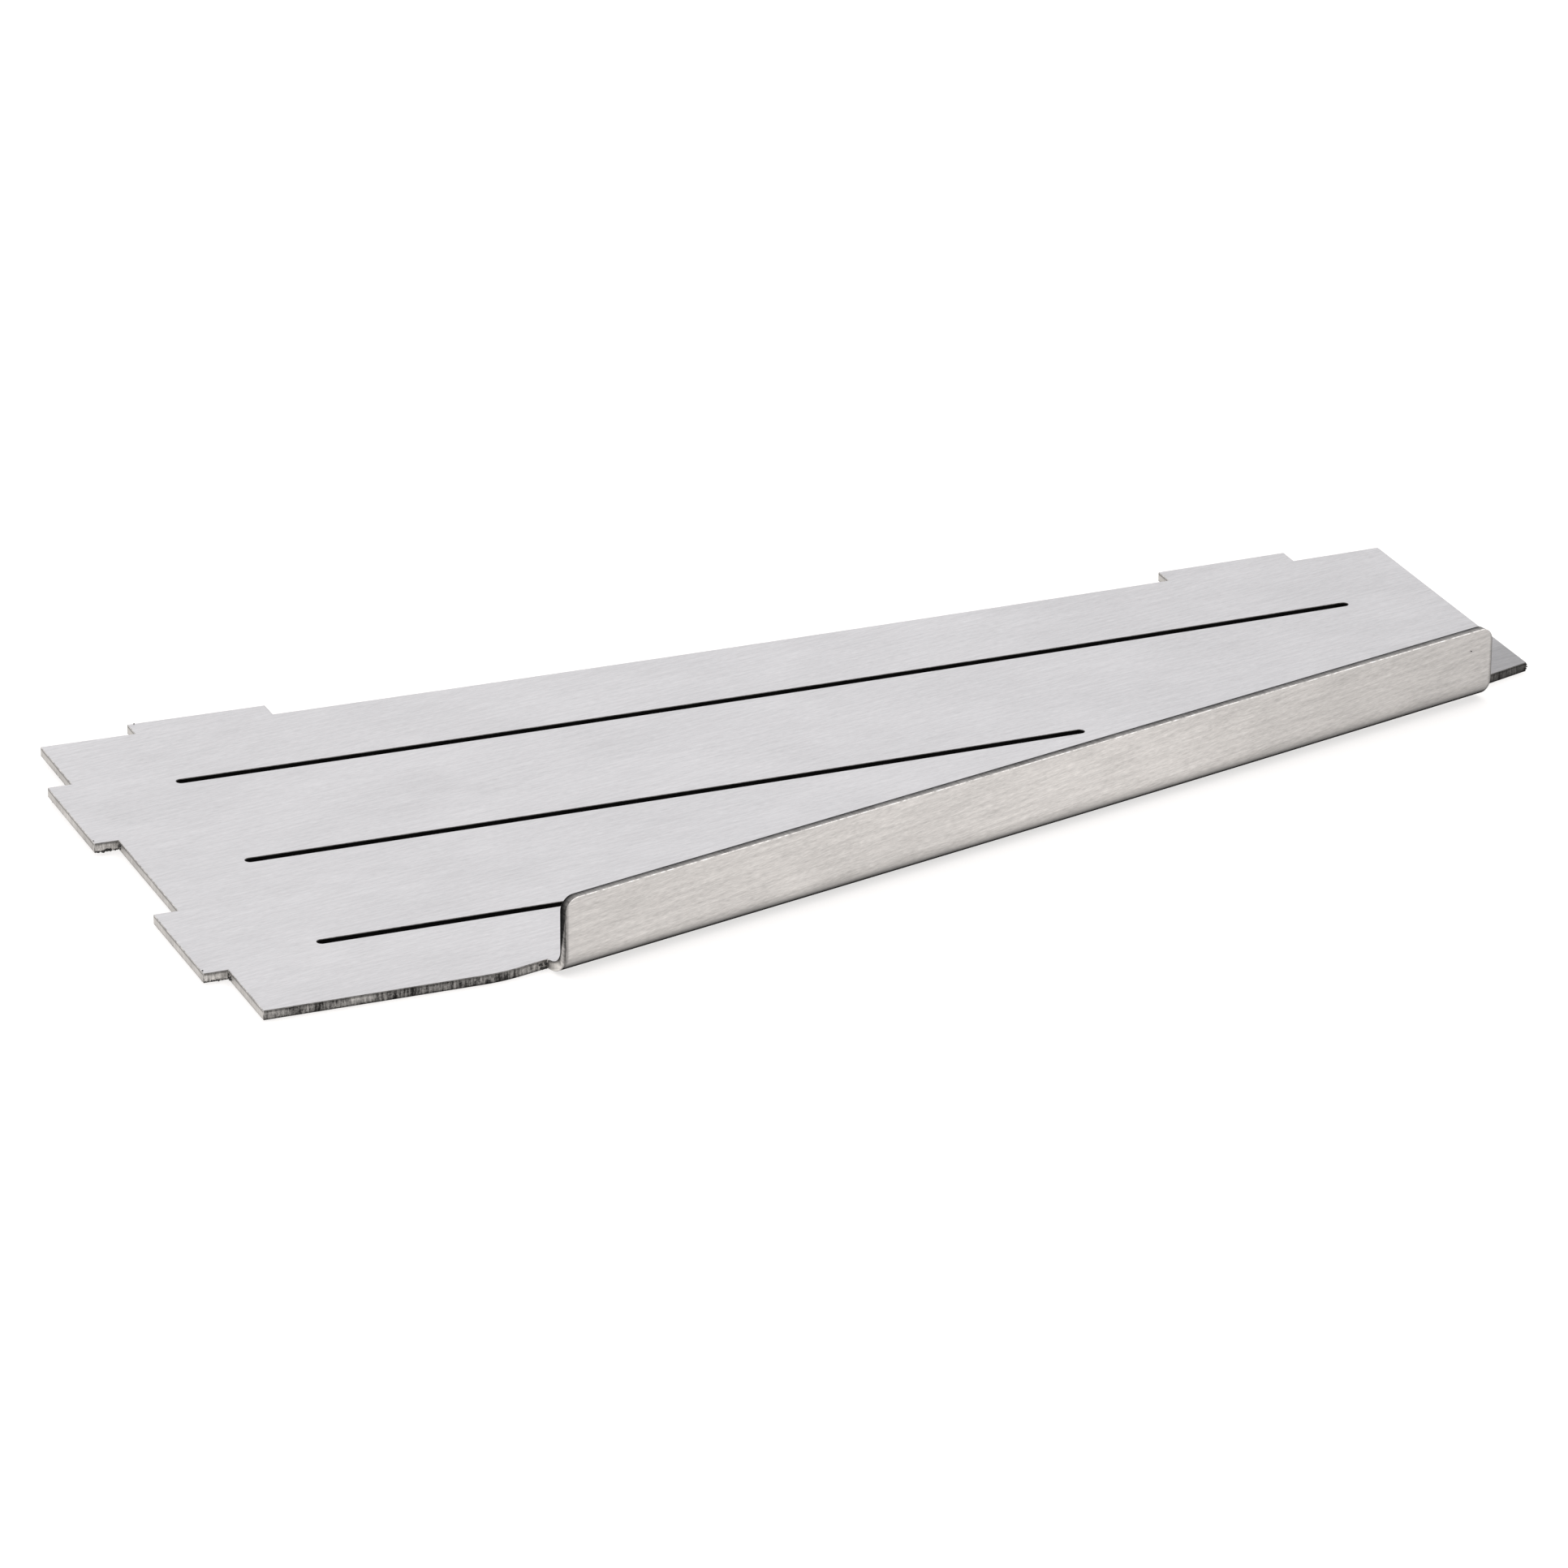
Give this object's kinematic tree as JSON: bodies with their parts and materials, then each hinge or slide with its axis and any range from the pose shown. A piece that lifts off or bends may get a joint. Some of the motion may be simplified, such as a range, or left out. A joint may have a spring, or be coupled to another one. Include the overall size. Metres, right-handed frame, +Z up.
{
  "type": "slide plate",
  "caption": "Folded sheet steel slide plate: a flat bed with edge tabs and long slits, and one upright guide flange along its slanted front.",
  "frame": {"origin": "under the middle of the bounding box, on the plane of the flat underside", "axes": "+X along the rear edge, from the tabbed end to the short end; +Y to the rear, out of the rear tabs; +Z up, the way the flange stands"},
  "size_m": [0.305, 0.1432, 0.0167],
  "materials": {
    "brushed_stainless": "brushed along the rear edge, laser-cut edges"
  },
  "bodies": {
    "root": {"slide_plate": "brushed_stainless"}
  },
  "joints": []
}
